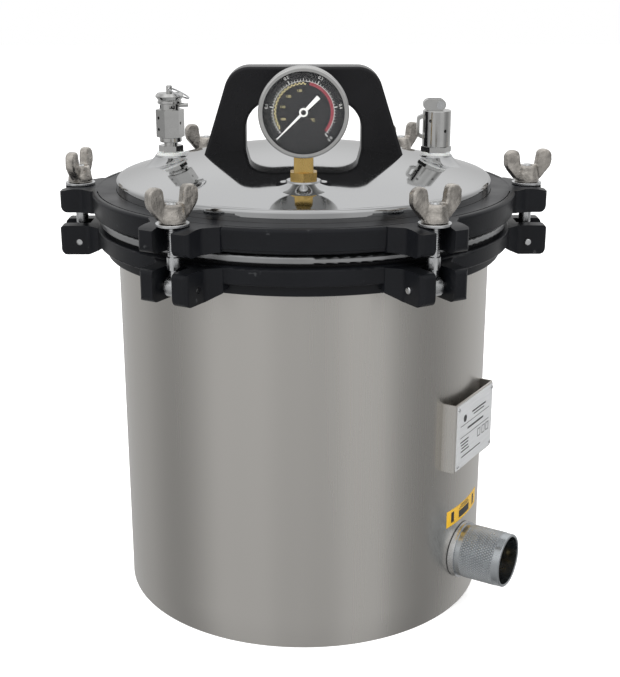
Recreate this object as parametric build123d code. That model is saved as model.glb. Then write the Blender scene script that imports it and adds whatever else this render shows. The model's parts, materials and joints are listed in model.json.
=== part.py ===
"""Benchtop autoclave: a round pressure vessel with a clamped, lift-off lid.

Millimetres, +Z up. The origin is the centre of the barrel's base, on the surface it
stands on. The front faces -Y and +X is to the right.
"""

import math
import os

from build123d import *

os.makedirs("parts", exist_ok=True)

# ---- barrel and vessel -------------------------------------------------------
BARREL_R = 150.0
SHELL_T = 0.8
SHELL_TOP = 284.0
BASE_T = 1.0
BASE_RIM = 12.0
CHAMBER_R = 140.0
CHAMBER_T = 1.5
CHAMBER_FLOOR = 54.5
CHAMBER_CORNER_R = 16.0
FLANGE_R = 163.3
FLANGE_BOTTOM = 308.0
FLANGE_TOP = 314.5

# ---- lower cast ring with its six clevis lugs --------------------------------
RING_BORE_R = 142.0
RING_LOW_R = 158.5
RING_STEP_Z = 292.6
RING_R = 165.5
RING_TOP = 305.5
RING_SEAT_R = 159.0

# ---- lid ---------------------------------------------------------------------
LID_BOTTOM = 316.4
LID_TOP = 334.3
LID_BORE_R = 149.8
LID_LOW_R = 167.5
LID_TOP_R = 169.5
GROOVE_R = 165.0
GROOVE_W = 1.0
DOME_SPHERE_R = 475.0
DOME_TOP = 366.3
DOME_T = 1.5
DOME_RIM_R = 149.5
DOME_SHOULDER_R = 3.5
DOME_FLANGE_R = 156.0
DOME_FLANGE_Z = 317.0
GASKET_R = (143.0, 155.5)
GASKET_BOTTOM = 314.6

# ---- six swing-bolt clamps ---------------------------------------------------
CLAMP_AZIMUTHS = [0, 60, 120, 180, 240, 300]
BOLT_CIRCLE_R = 180.0
PIN_Z = 291.0
PIN_R = 2.5
PIN_CLEARANCE = 0.05
PIN_HEAD_R = 2.8
EYE_R = 7.3
EYE_T = 9.4
NECK_R = 3.6
SHANK_R = 4.9
SHANK_Z = (303.0, 313.0)
THREAD_R = 4.0
BOLT_END = 350.6
WASHER_Z = (334.5, 336.6)
WASHER_R = 11.8
WASHER_BORE_R = 4.3
NUT_BOTTOM = 336.7
NUT_HUB_H = 13.0
NUT_HUB_R = (9.6, 7.8)
NUT_BORE_R = 4.08
NUT_SPAN = 40.0
NUT_HEIGHT = 25.5
WING_T = 7.0
LOWER_LUG_REACH = 195.0
LOWER_LUG_HALF = 20.3
LOWER_LUG_Z = (281.0, 304.5)
LOWER_SLOT_HALF = 8.3
UPPER_LUG_REACH = 193.5
UPPER_LUG_HALF = 21.3
UPPER_LUG_Z = (315.5, 334.2)
UPPER_SLOT_HALF = 8.0
SWING_GAP = 0.3

# ---- handle ------------------------------------------------------------------
HANDLE_DEPTH = 24.0
HANDLE_FOOT_X = 81.2
HANDLE_FOOT_Z = 352.0
HANDLE_TOP_X = 56.8
HANDLE_TOP = 428.3
HANDLE_CORNER_R = 20.0
GRIP_HALF = 45.5
GRIP_TOP = 402.0
GRIP_CORNER_R = 22.0
HANDLE_SCREW_X = 61.0
HANDLE_SCREW_R = 3.0

# ---- pressure gauge ----------------------------------------------------------
GAUGE_Y = -105.0
GAUGE_Z = 406.0
GAUGE_R = 32.0
GAUGE_FRONT = -118.0
GAUGE_BACK = -91.0
DIAL_R = 28.6
DIAL_Y = -112.5
STEM_SQUARE = 14.0
STEM_Z = (363.0, 374.3)
STEM_THREAD_R = 4.5
GAUGE_NUT_AF = 19.0
GAUGE_NUT_Z = (357.0, 363.0)

# ---- valves ------------------------------------------------------------------
VALVE_X = 106.0
PAD_TOP = 358.6
GAUGE_PAD_TOP = 357.0
PAD_R = (17.0, 12.5)
SEAL_R = 11.5
SEAL_TOP = 360.8
VALVE_THREAD_R = 4.0
RELIEF_NUT_TOP = 366.0
VENT_NUT_TOP = 365.0
RELIEF_HEX_AF = 19.5
RELIEF_HEX_Z = (372.7, 394.3)
RELIEF_HEX_TURN = 13.0
RELIEF_TOP = 401.4
RELIEF_BORE_R = 5.2
RELIEF_STEM_R = 2.35
RELIEF_STEM_TOP = 413.0
PULL_RING_Z = 410.4
PULL_RING_R = 8.6
PULL_RING_LIE = 26.0  # degrees below level
VENT_R = 11.2
VENT_TOP = 393.6
LEVER_PIVOT = (108.2, 398.0)
LEVER_R = 4.5
LEVER_LENGTH = 18.0
LEVER_HALF_Y = 4.6
TONGUE_HALF_Y = 1.6

# ---- side fittings: nameplate and power inlet --------------------------------
SIDE_AZIMUTH = -31.5  # degrees from +X, in plan
BRACKET_OUT = 157.2
BRACKET_W = 70.0
BRACKET_Z = (129.0, 184.4)
BRACKET_T = 1.2
INLET_Z = 48.0
INLET_R = 21.8
INLET_BORE_R = 19.3
INLET_MOUTH = 192.0
INLET_ROOT = 153.6
COLLAR_GASKET_T = 0.6
COLLAR_R = 23.0

# ---- basket and heater -------------------------------------------------------
BASKET_R = 116.0
BASKET_Z = (66.0, 220.0)
SIEVE_T = 1.0
SIEVE_R = 120.0
BASKET_T = 0.8
BAIL_PIVOT_Z = 211.0
BAIL_R = 121.2
BAIL_WIRE_R = 2.0


def write(node, shapes):
    """Writes one node's solids, which are a single shape or a list of separate ones."""
    shape = Compound(children=list(shapes)) if isinstance(shapes, (list, tuple)) else shapes
    export_step(shape, f"parts/{node}.step")


def cylinder(radius, z0, z1, x=0.0, y=0.0):
    """An upright cylinder between two heights."""
    return Pos(x, y, (z0 + z1) / 2) * Cylinder(radius, z1 - z0)


def tube(outer, inner, z0, z1, x=0.0, y=0.0):
    """An upright tube between two heights."""
    return cylinder(outer, z0, z1, x, y) - cylinder(inner, z0 - 1, z1 + 1, x, y)


def block(x0, x1, y0, y1, z0, z1):
    """A box given by its limits."""
    return Pos((x0 + x1) / 2, (y0 + y1) / 2, (z0 + z1) / 2) * Box(x1 - x0, y1 - y0, z1 - z0)


def rod(radius, start, end):
    """A round rod between two points."""
    start, end = Vector(*start), Vector(*end)
    plane = Plane(origin=start, z_dir=end - start)
    return extrude(plane * Circle(radius), (end - start).length)


def turned(points, fillets=()):
    """A solid of revolution about Z from (radius, height) points, with some corners rounded.

    fillets lists (index, radius) pairs for the corners to round.
    """
    face = Plane.XZ * make_face(Polyline(*points, close=True))
    for index, radius in fillets:
        corner = Vector(points[index][0], 0, points[index][1])
        near = face.vertices().sort_by_distance(corner)[0]
        face = fillet(near, radius)
    return revolve(face, Axis.Z, 360)


def profile_xz(points, fillets, y0, y1):
    """A prism along Y with an outline of (x, z) points and rounded corners."""
    face = make_face(Polyline(*points, close=True))
    for index, radius in fillets:
        near = face.vertices().sort_by_distance(Vector(*points[index], 0))[0]
        face = fillet(near, radius)
    plane = Plane(origin=(0, y0, 0), x_dir=(1, 0, 0), z_dir=(0, -1, 0))
    return extrude(plane * face, -(y1 - y0))


def hexagon(across_flats, z0, z1, x=0.0, y=0.0, turn=0.0):
    """A hexagonal prism with its upper and lower corners chamfered."""
    corner_r = across_flats / math.sqrt(3)
    prism = Pos(x, y, z0) * extrude(RegularPolygon(corner_r, 6, rotation=turn), z1 - z0)
    cut = 0.6
    bevel = turned([
        (0, z0), (corner_r - cut, z0), (corner_r, z0 + cut / 2), (corner_r, z1 - cut / 2),
        (corner_r - cut, z1), (0, z1),
    ])
    return prism & (Pos(x, y, 0) * bevel)


def around(make):
    """The same clamp piece at each of the six clamp azimuths."""
    return [Rot(0, 0, azimuth) * make() for azimuth in CLAMP_AZIMUTHS]


def side(shape):
    """Turns a shape made facing +X to face the side fittings' azimuth."""
    return Rot(0, 0, SIDE_AZIMUTH) * shape


def dome_z(radius, offset=0.0):
    """Height of the dome's spherical surface at a distance from the axis."""
    return DOME_TOP - DOME_SPHERE_R + math.sqrt((DOME_SPHERE_R + offset) ** 2 - radius**2)


def dome_ball(offset=0.0):
    """The ball whose top is the dome's outer surface."""
    return Pos(0, 0, DOME_TOP - DOME_SPHERE_R) * Sphere(DOME_SPHERE_R + offset)


# ---- body --------------------------------------------------------------------
def outer_shell():
    shell = tube(BARREL_R, BARREL_R - SHELL_T, 0, SHELL_TOP)
    return shell - side(rod(INLET_BORE_R, (130, 0, INLET_Z), (160, 0, INLET_Z)))


def base_plate():
    inner_r = BARREL_R - SHELL_T
    return turned([
        (0, 0), (inner_r, 0), (inner_r, BASE_RIM), (inner_r - BASE_T, BASE_RIM),
        (inner_r - BASE_T, BASE_T), (0, BASE_T),
    ])


def chamber():
    wall_r = CHAMBER_R + CHAMBER_T
    under = CHAMBER_FLOOR - CHAMBER_T
    return turned(
        [
            (0, under), (wall_r, under), (wall_r, FLANGE_BOTTOM), (FLANGE_R, FLANGE_BOTTOM),
            (FLANGE_R, FLANGE_TOP), (CHAMBER_R, FLANGE_TOP), (CHAMBER_R, CHAMBER_FLOOR),
            (0, CHAMBER_FLOOR),
        ],
        [(1, CHAMBER_CORNER_R + CHAMBER_T), (6, CHAMBER_CORNER_R), (3, 1.8), (4, 2.4), (5, 1.5)],
    )


def lug_blank(root_r, reach, half, z0, z1, flare, side_points, side_fillets):
    """A lug pointing along +X: its plan outline and its side outline, crossed."""
    plan = make_face(Polyline(
        (root_r - 12, half + flare), (root_r - 2, half + flare), (root_r + flare - 2, half),
        (reach, half), (reach, -half), (root_r + flare - 2, -half),
        (root_r - 2, -half - flare), (root_r - 12, -half - flare), close=True,
    ))
    outer = [v for v in plan.vertices() if v.X > reach - 0.1]
    plan = fillet(outer, 4.0)
    roots = [v for v in plan.vertices() if abs(v.X - (root_r + flare - 2)) < 0.1]
    plan = fillet(roots, 6.0)
    upright = Pos(0, 0, z0 - 5) * extrude(plan, z1 - z0 + 10)
    return upright & profile_xz(side_points, side_fillets, -half - flare - 1, half + flare + 1)


def lower_lug():
    z0, z1 = LOWER_LUG_Z
    reach = LOWER_LUG_REACH
    blank = lug_blank(RING_R, reach, LOWER_LUG_HALF, z0, z1, 9.0, [
        (RING_R - 12, SHELL_TOP + 4), (RING_R - 5, SHELL_TOP + 4), (RING_R + 7, z0),
        (reach, z0), (reach, z1), (RING_R - 12, z1),
    ], [(2, 5.0), (3, 5.5), (4, 3.5)])
    slot = block(BOLT_CIRCLE_R - 8.0, reach + 5, -LOWER_SLOT_HALF, LOWER_SLOT_HALF, z0 - 5, z1 + 5)
    return blank - slot


def pin_hole():
    """The clevis pin's hole, right through the lug."""
    reach = LOWER_LUG_HALF + 2
    return rod(PIN_R, (BOLT_CIRCLE_R, -reach, PIN_Z), (BOLT_CIRCLE_R, reach, PIN_Z))


def body_ring():
    ring = turned(
        [
            (RING_BORE_R, SHELL_TOP), (RING_LOW_R, SHELL_TOP), (RING_LOW_R, RING_STEP_Z),
            (RING_R, RING_STEP_Z), (RING_R, RING_TOP), (RING_SEAT_R, RING_TOP),
            (RING_SEAT_R, FLANGE_BOTTOM), (RING_BORE_R, FLANGE_BOTTOM),
        ],
        [(1, 1.2), (3, 1.6), (4, 2.0)],
    )
    for lug in around(lower_lug):
        ring = ring + lug
    for hole in around(pin_hole):
        ring = ring - hole
    return ring


def clevis_pin():
    """A round pin with a domed head on one face of the clevis; its plain end is recessed."""
    face = -LOWER_LUG_HALF
    shaft = rod(PIN_R, (BOLT_CIRCLE_R, face, PIN_Z), (BOLT_CIRCLE_R, -face - 1.6, PIN_Z))
    head = rod(PIN_HEAD_R, (BOLT_CIRCLE_R, face - 1.6, PIN_Z), (BOLT_CIRCLE_R, face, PIN_Z))
    rim = head.edges().sort_by(Axis.Y)[0]
    return shaft + fillet(rim, 1.2)


def heating_element():
    """A tubular ring pressed against the underside of the chamber floor, with two cold ends."""
    radius, tube_r = 95.0, 4.5
    z = CHAMBER_FLOOR - CHAMBER_T - tube_r
    ring = Pos(0, 0, z) * Torus(radius, tube_r)
    for y in (-14, 14):
        ring = ring + side(rod(tube_r - 1, (radius - 3, y, z), (138, y, z)))
    return ring


def heater_fixings():
    """A bar across the heating element that holds it to the floor, and the bar's nut."""
    z1 = CHAMBER_FLOOR - CHAMBER_T - 9.0
    bar = Rot(0, 0, 90 + SIDE_AZIMUTH) * block(-103, 103, -9, 9, z1 - 2.5, z1)
    stud = cylinder(3.0, z1 - 11.5, z1 - 2.5) + hexagon(10.0, z1 - 7.5, z1 - 2.5)
    return [bar, stud]


def sieve_plate():
    """A perforated floor that stands on four feet above the water."""
    top = BASKET_Z[0] - 0.4
    plate = cylinder(SIEVE_R, top - SIEVE_T, top)
    for ring_r, count in ((26.0, 6), (52.0, 12), (78.0, 18), (102.0, 24)):
        for index in range(count):
            angle = math.tau * (index + 0.5) / count
            plate = plate - cylinder(
                4.0, top - 3, top + 1, ring_r * math.cos(angle), ring_r * math.sin(angle)
            )
    for angle in range(45, 405, 90):
        foot = cylinder(6.0, CHAMBER_FLOOR, top - SIEVE_T, SIEVE_R - 8, 0)
        plate = plate + Rot(0, 0, angle) * foot
    return plate


def basket():
    z0, z1 = BASKET_Z
    can = cylinder(BASKET_R, z0, z1) - cylinder(BASKET_R - BASKET_T, z0 + BASKET_T, z1 + 1)
    bead = tube(BASKET_R + 1.6, BASKET_R - BASKET_T, z1 - 3.2, z1)
    can = can + bead
    for level in range(3):
        z = z0 + 28 + 34 * level
        for index in range(12):
            slot = block(0, BASKET_R + 5, -5, 5, z, z + 20)
            can = can - Rot(0, 0, 30 * index + 15) * slot
    for ring_r, count in ((34.0, 6), (68.0, 12), (98.0, 18)):
        for index in range(count):
            angle = math.tau * (index + 0.5) / count
            can = can - cylinder(
                4.0, z0 - 1, z0 + 3, ring_r * math.cos(angle), ring_r * math.sin(angle)
            )
    for way in (-1, 1):
        ear = rod(1.9, (way * (BASKET_R - 0.6), 0, BAIL_PIVOT_Z),
                  (way * (BAIL_R + 3.2), 0, BAIL_PIVOT_Z))
        can = can + ear
    return can


def basket_bail():
    """A half hoop of wire, lying level round the basket, with an eye at each end."""
    hoop = Pos(0, 0, BAIL_PIVOT_Z) * Torus(BAIL_R, BAIL_WIRE_R)
    half = hoop & block(-200, 200, 0, 200, 0, 400)
    for way in (-1, 1):
        x = way * BAIL_R
        eye = rod(4.0, (x - 1.8, 0, BAIL_PIVOT_Z), (x + 1.8, 0, BAIL_PIVOT_Z))
        half = half + eye
    bore = rod(2.0, (-BAIL_R - 9, 0, BAIL_PIVOT_Z), (-BASKET_R, 0, BAIL_PIVOT_Z))
    return half - bore - mirror(bore, Plane.YZ)


def nameplate_bracket():
    half = BRACKET_W / 2
    z0, z1 = BRACKET_Z
    channel = block(120, BRACKET_OUT, -half, half, z0, z1)
    channel = fillet([e for e in channel.edges().filter_by(Axis.Z) if e.center().X > 150], 1.6)
    inner = block(110, BRACKET_OUT - BRACKET_T, -half + BRACKET_T, half - BRACKET_T, z0 - 1, z1 + 1)
    return side(channel - inner) - cylinder(BARREL_R, z0 - 2, z1 + 2)


def nameplate():
    z0, z1 = BRACKET_Z
    half = BRACKET_W / 2 - 1.8
    return side(block(BRACKET_OUT, BRACKET_OUT + 0.6, -half, half, z0 + 1.2, z1 - 1.2))


def nameplate_rivets():
    z0, z1 = BRACKET_Z
    face = BRACKET_OUT + 0.6
    rivets = []
    for y in (-BRACKET_W / 2 + 4.2, BRACKET_W / 2 - 4.2):
        for z in (z0 + 4.2, z1 - 4.2):
            head = rod(1.5, (face, y, z), (face + 0.9, y, z))
            rivets.append(side(fillet(head.edges().sort_by(Axis.X)[-1], 0.7)))
    return rivets


def inlet_ring(inner_r, outer_r):
    """A ring round the inlet, from one radius about the barrel's axis to another."""
    ring = rod(COLLAR_R, (130, 0, INLET_Z), (outer_r, 0, INLET_Z))
    ring = ring - rod(INLET_BORE_R, (120, 0, INLET_Z), (170, 0, INLET_Z))
    return ring - cylinder(inner_r, 0, 100)


def inlet_gasket():
    """A thin sheet gasket that follows the barrel under the collar."""
    outer = BARREL_R + COLLAR_GASKET_T
    return side(inlet_ring(BARREL_R, outer + 5) & cylinder(outer, 0, 100))


def inlet_collar():
    """The shroud's flange, saddle-shaped behind and flat in front."""
    ring = inlet_ring(BARREL_R + COLLAR_GASKET_T, INLET_ROOT)
    return side(fillet(ring.edges().sort_by(Axis.X)[-1], 0.7))


def inlet_shroud():
    """The round metal shroud that guards the supply contacts."""
    outer = rod(INLET_R, (INLET_ROOT, 0, INLET_Z), (INLET_MOUTH, 0, INLET_Z))
    outer = fillet(outer.edges().sort_by(Axis.X)[-1], 0.9)
    return side(outer - rod(INLET_BORE_R, (150, 0, INLET_Z), (INLET_MOUTH + 5, 0, INLET_Z)))


CONTACTS = ((-6.5, 52.0), (6.5, 52.0), (0.0, 41.0))


def terminal_block():
    body = rod(INLET_BORE_R - 0.1, (144, 0, INLET_Z), (166, 0, INLET_Z))
    for y, z in CONTACTS:
        body = body - rod(2.4, (140, y, z), (170, y, z))
    return side(body)


def contact_pins():
    return [
        side(rod(2.4, (142, y, z), (177, y, z)))
        for y, z in CONTACTS
    ]


# ---- lid ---------------------------------------------------------------------
PADS = (
    (-VALVE_X, 0.0, PAD_TOP, VALVE_THREAD_R),
    (VALVE_X, 0.0, PAD_TOP, VALVE_THREAD_R),
    (0.0, GAUGE_Y, GAUGE_PAD_TOP, STEM_THREAD_R),
)


def lid_dome():
    centre_z = DOME_TOP - DOME_SPHERE_R
    inner_sphere = DOME_SPHERE_R - DOME_T
    wall_in = DOME_RIM_R - DOME_T
    shoulder = DOME_RIM_R - DOME_SHOULDER_R
    edge_z = dome_z(shoulder)
    inner_edge = centre_z + math.sqrt(inner_sphere**2 - (shoulder - 0.6) ** 2)
    outline = [
        ThreePointArc((0, DOME_TOP), (shoulder / 2, dome_z(shoulder / 2)), (shoulder, edge_z)),
        Line((shoulder, edge_z), (shoulder + 0.6, edge_z + 0.35)),
        ThreePointArc(
            (shoulder + 0.6, edge_z + 0.35), (DOME_RIM_R - 0.75, edge_z - 0.5),
            (DOME_RIM_R, edge_z - 3.2),
        ),
        Line((DOME_RIM_R, edge_z - 3.2), (DOME_RIM_R, DOME_FLANGE_Z + DOME_T)),
        Line((DOME_RIM_R, DOME_FLANGE_Z + DOME_T), (DOME_FLANGE_R, DOME_FLANGE_Z + DOME_T)),
        Line((DOME_FLANGE_R, DOME_FLANGE_Z + DOME_T), (DOME_FLANGE_R, DOME_FLANGE_Z)),
        Line((DOME_FLANGE_R, DOME_FLANGE_Z), (wall_in, DOME_FLANGE_Z)),
        Line((wall_in, DOME_FLANGE_Z), (wall_in, inner_edge - 2.0)),
        ThreePointArc(
            (wall_in, inner_edge - 2.0), (wall_in - 0.8, inner_edge - 0.5),
            (shoulder - 0.6, inner_edge),
        ),
        ThreePointArc(
            (shoulder - 0.6, inner_edge),
            (shoulder / 2, centre_z + math.sqrt(inner_sphere**2 - (shoulder / 2) ** 2)),
            (0, DOME_TOP - DOME_T),
        ),
        Line((0, DOME_TOP - DOME_T), (0, DOME_TOP)),
    ]
    dome = revolve(Plane.XZ * make_face(outline), Axis.Z, 360)
    low, high = PAD_R
    for x, y, top, bore_r in PADS:
        pad = turned([(0, 347), (low, 347), (low, dome_z(VALVE_X) - 1.2), (high, top), (0, top)])
        dome = dome + (Pos(x, y, 0) * pad - dome_ball(-DOME_T / 2))
        dome = dome - cylinder(bore_r, 330, 370, x, y)
    for x in (-HANDLE_SCREW_X, HANDLE_SCREW_X):
        dome = dome - cylinder(HANDLE_SCREW_R, 330, 380, x, 0)
    return dome


def upper_lug():
    """A slotted lug whose top falls away outboard of the bolt, so that the nut can swing off."""
    z0, z1 = UPPER_LUG_Z
    reach = UPPER_LUG_REACH
    blank = lug_blank(LID_TOP_R, reach, UPPER_LUG_HALF, z0, z1, 9.0, [
        (LID_TOP_R - 12, z0 + 0.9), (LID_TOP_R + 1, z0 + 0.9), (LID_TOP_R + 5, z0),
        (reach, z0), (reach, z1), (LID_TOP_R - 12, z1),
    ], [(3, 6.0), (4, 3.0)])
    swing_r = WASHER_Z[0] - PIN_Z - SWING_GAP
    cap = rod(swing_r, (BOLT_CIRCLE_R, -40, PIN_Z), (BOLT_CIRCLE_R, 40, PIN_Z))
    cap = cap + block(120, BOLT_CIRCLE_R, -40, 40, PIN_Z - swing_r, PIN_Z + swing_r)
    slot = block(BOLT_CIRCLE_R, reach + 5, -UPPER_SLOT_HALF, UPPER_SLOT_HALF, z0 - 5, z1 + 5)
    slot = slot + cylinder(UPPER_SLOT_HALF, z0 - 5, z1 + 5, BOLT_CIRCLE_R)
    return (blank & cap) - slot


def lid_ring():
    ring = turned(
        [
            (DOME_FLANGE_R + 0.2, LID_BOTTOM), (LID_LOW_R, LID_BOTTOM), (LID_LOW_R, LID_BOTTOM + 2.2),
            (LID_LOW_R + 0.6, LID_BOTTOM + 2.2), (LID_TOP_R, LID_TOP), (LID_BORE_R, LID_TOP),
            (LID_BORE_R, DOME_FLANGE_Z + DOME_T), (DOME_FLANGE_R + 0.2, DOME_FLANGE_Z + DOME_T),
        ],
        [(4, 2.6), (1, 0.8), (3, 0.25)],
    )
    groove = tube(GROOVE_R, GROOVE_R - GROOVE_W, LID_TOP - 0.9, LID_TOP + 1)
    ring = ring - groove
    for lug in around(upper_lug):
        ring = ring + lug
    seat = cylinder(DOME_FLANGE_R + 0.2, 300, DOME_FLANGE_Z + DOME_T)
    return ring - cylinder(LID_BORE_R, 300, 360) - seat


def lid_gasket():
    inner, outer = GASKET_R
    return tube(outer, inner, GASKET_BOTTOM, DOME_FLANGE_Z)


def lid_handle():
    foot, top = HANDLE_FOOT_X, HANDLE_TOP_X
    half = HANDLE_DEPTH / 2
    outer = profile_xz(
        [(-foot, HANDLE_FOOT_Z), (foot, HANDLE_FOOT_Z), (top, HANDLE_TOP), (-top, HANDLE_TOP)],
        [(2, HANDLE_CORNER_R), (3, HANDLE_CORNER_R)], -half, half,
    )
    grip = profile_xz(
        [(-GRIP_HALF, 340), (GRIP_HALF, 340), (GRIP_HALF, GRIP_TOP), (-GRIP_HALF, GRIP_TOP)],
        [(2, GRIP_CORNER_R), (3, GRIP_CORNER_R)], -half - 5, half + 5,
    )
    bridge = outer - grip
    faces = [e for e in bridge.edges() if abs(abs(e.center().Y) - half) < 0.01]
    rims = [e for e in faces if e.center().Z > HANDLE_FOOT_Z + 1]
    bridge = fillet(rims, 2.4)
    bridge = bridge - dome_ball()
    for x in (-HANDLE_SCREW_X, HANDLE_SCREW_X):
        bridge = bridge - cylinder(HANDLE_SCREW_R, 340, 385, x, 0)
    return bridge


def handle_screws():
    """Two screws that come up through the dome into the handle's feet."""
    screws = []
    for x in (-HANDLE_SCREW_X, HANDLE_SCREW_X):
        under = dome_z(HANDLE_SCREW_X, -DOME_T)
        head = cylinder(6.0, under - 5.0, under + 2.0, x, 0) & dome_ball(-DOME_T)
        screws.append(head + cylinder(HANDLE_SCREW_R, under - 2.0, 384, x, 0))
    return screws


# ---- pressure gauge ----------------------------------------------------------
def gauge_rod(radius, y0, y1):
    """A round piece on the gauge's axis, between two depths."""
    return rod(radius, (0, y0, GAUGE_Z), (0, y1, GAUGE_Z))


def gauge_case():
    case = gauge_rod(GAUGE_R - 1.0, GAUGE_BACK, DIAL_Y)
    case = fillet(case.edges().sort_by(Axis.Y)[-1], 3.0)
    case = case - gauge_rod(GAUGE_R - 2.4, GAUGE_BACK - 1.6, DIAL_Y - 1)
    return case - block(-7, 7, GAUGE_Y - 7, GAUGE_Y + 7, 360, STEM_Z[1])


def gauge_bezel():
    ring = gauge_rod(GAUGE_R, GAUGE_FRONT, DIAL_Y)
    ring = fillet(ring.edges().sort_by(Axis.Y)[0], 1.6)
    ring = ring - gauge_rod(DIAL_R + 0.2, GAUGE_FRONT - 1, DIAL_Y - 3.2)
    return ring - gauge_rod(GAUGE_R - 1.6, DIAL_Y - 3.2, DIAL_Y + 1)


def gauge_dial():
    dial = gauge_rod(GAUGE_R - 2.4, DIAL_Y, DIAL_Y + 0.8)
    return dial - gauge_rod(1.2, DIAL_Y - 1, DIAL_Y + 2)


def gauge_glass():
    return gauge_rod(GAUGE_R - 1.6, DIAL_Y - 3.2, DIAL_Y - 2.2)


def gauge_movement():
    """The bourdon tube's bent C inside the case, on a short root above the stem."""
    y = (GAUGE_BACK + DIAL_Y) / 2
    tube_c = Pos(0, y, GAUGE_Z) * Rot(90, 0, 0) * Torus(19.0, 2.5)
    root = block(-4, 4, y - 3, y + 3, GAUGE_Z - 29.1, GAUGE_Z - 17)
    return (tube_c - block(0, 40, y - 5, y + 5, GAUGE_Z - 14, GAUGE_Z + 9)) + root


def gauge_needle():
    """A pointer towards the zero at the lower left, with a broad tail."""
    y0, y1 = DIAL_Y - 1.5, DIAL_Y - 0.9
    plan = make_face(Polyline(
        (-1.6, -15.0), (1.6, -15.0), (1.0, 0), (0.3, 26.2), (-0.3, 26.2), (-1.0, 0), close=True,
    ))
    plane = Plane(origin=(0, y0, GAUGE_Z), x_dir=(1, 0, 0), z_dir=(0, -1, 0))
    pointer = extrude(plane * Rot(0, 0, 135) * plan, -(y1 - y0))
    hub = gauge_rod(3.1, DIAL_Y - 2.0, DIAL_Y - 0.4)
    return pointer + hub + gauge_rod(1.14, DIAL_Y - 1, DIAL_Y + 4)


def gauge_block():
    z0, z1 = STEM_Z
    half = STEM_SQUARE / 2
    square = block(-half, half, GAUGE_Y - half, GAUGE_Y + half, z0, z1)
    square = fillet(square.edges().filter_by(Axis.Z), 0.8)
    square = square - gauge_rod(GAUGE_R - 1.0, GAUGE_BACK, DIAL_Y)
    return square + cylinder(STEM_THREAD_R, 344, z0 + 1, 0, GAUGE_Y)


def gauge_nut():
    z0, z1 = GAUGE_NUT_Z
    nut = hexagon(GAUGE_NUT_AF, z0, z1, 0, GAUGE_Y, 30)
    return nut - cylinder(STEM_THREAD_R, z0 - 1, z1 + 1, 0, GAUGE_Y)


# ---- valves ------------------------------------------------------------------
def fitting_seals():
    """A white seal between each valve's nut and its pad."""
    return [tube(SEAL_R, VALVE_THREAD_R, PAD_TOP, SEAL_TOP, x) for x in (-VALVE_X, VALVE_X)]


def valve_nuts():
    """The hexagonal nuts that hold the relief valve, on the left, and the vent valve."""
    nuts = []
    for x, across, top in ((-VALVE_X, 17.0, RELIEF_NUT_TOP), (VALVE_X, 21.0, VENT_NUT_TOP)):
        nuts.append(hexagon(across, SEAL_TOP, top, x) - cylinder(VALVE_THREAD_R, 350, 370, x))
    return nuts


def relief_body():
    """The relief valve's neck, hexagonal chamber and windowed cap, bored for its spring."""
    x = -VALVE_X
    z0, z1 = RELIEF_HEX_Z
    body = cylinder(VALVE_THREAD_R, 346, RELIEF_NUT_TOP + 1, x, 0)
    body = body + cylinder(5.5, RELIEF_NUT_TOP, 369.7, x, 0)
    flange = cylinder(8.8, 368.7, z0, x, 0)
    body = body + fillet(flange.edges().filter_by(GeomType.CIRCLE), 0.8)
    body = body + hexagon(RELIEF_HEX_AF, z0, z1, x, 0, RELIEF_HEX_TURN)
    body = body + cylinder(7.8, z1 - 1, 398.8, x, 0)
    cap = cylinder(9.5, 398.8, RELIEF_TOP, x, 0)
    body = body + fillet(cap.edges().filter_by(GeomType.CIRCLE), 0.6)
    body = body - cylinder(RELIEF_BORE_R, 375, 399.4, x, 0)
    body = body - cylinder(RELIEF_STEM_R + 0.08, 398, 403, x, 0)
    body = body - cylinder(1.6, 340, 376, x, 0)
    for angle in (20, 110, 200, 290):
        window = block(0, 12, -2.2, 2.2, 395.2, 397.8)
        body = body - Pos(x, 0, 0) * Rot(0, 0, angle) * window
    for angle, z in ((210, 388), (210, 379), (330, 384)):
        hole = rod(1.2, (0, 0, z), (14, 0, z))
        body = body - Pos(x, 0, 0) * Rot(0, 0, angle) * hole
    pin = rod(1.65, (x + 6.5, 0, 397.6), (x + 14.5, 0, 397.6))
    return body + fillet(pin.edges().sort_by(Axis.X)[-1], 0.6)


def relief_stem():
    """The poppet and its stem, with the conical pull disc that stands above the cap."""
    x = -VALVE_X
    stem = cylinder(RELIEF_STEM_R, 376, RELIEF_STEM_TOP, x, 0)
    stem = fillet(stem.edges().sort_by(Axis.Z)[-1], 1.0)
    poppet = cylinder(RELIEF_BORE_R - 0.4, 375.3, 378, x, 0)
    disc = Pos(x, 0, 0) * turned(
        [(0, 401.9), (9.2, 401.9), (11.3, 404.6), (9.6, 407.0), (0, 407.0)], [(2, 0.8)]
    )
    hole = rod(0.95, (x, -5, PULL_RING_Z), (x, 5, PULL_RING_Z))
    return (stem + poppet + disc) - hole


def relief_spring():
    """The closed coils of the relief valve's spring, one ring to a coil."""
    return [Pos(-VALVE_X, 0, 379.2 + 2.6 * coil) * Torus(3.7, 0.75) for coil in range(7)]


def relief_ring():
    """A thin pull ring through the top of the stem, lying over to the right on the disc."""
    loop = Pos(PULL_RING_R, 0, 0) * Torus(PULL_RING_R, 0.6)
    return Pos(-VALVE_X, 0, PULL_RING_Z) * Rot(0, PULL_RING_LIE, 0) * loop


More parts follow.
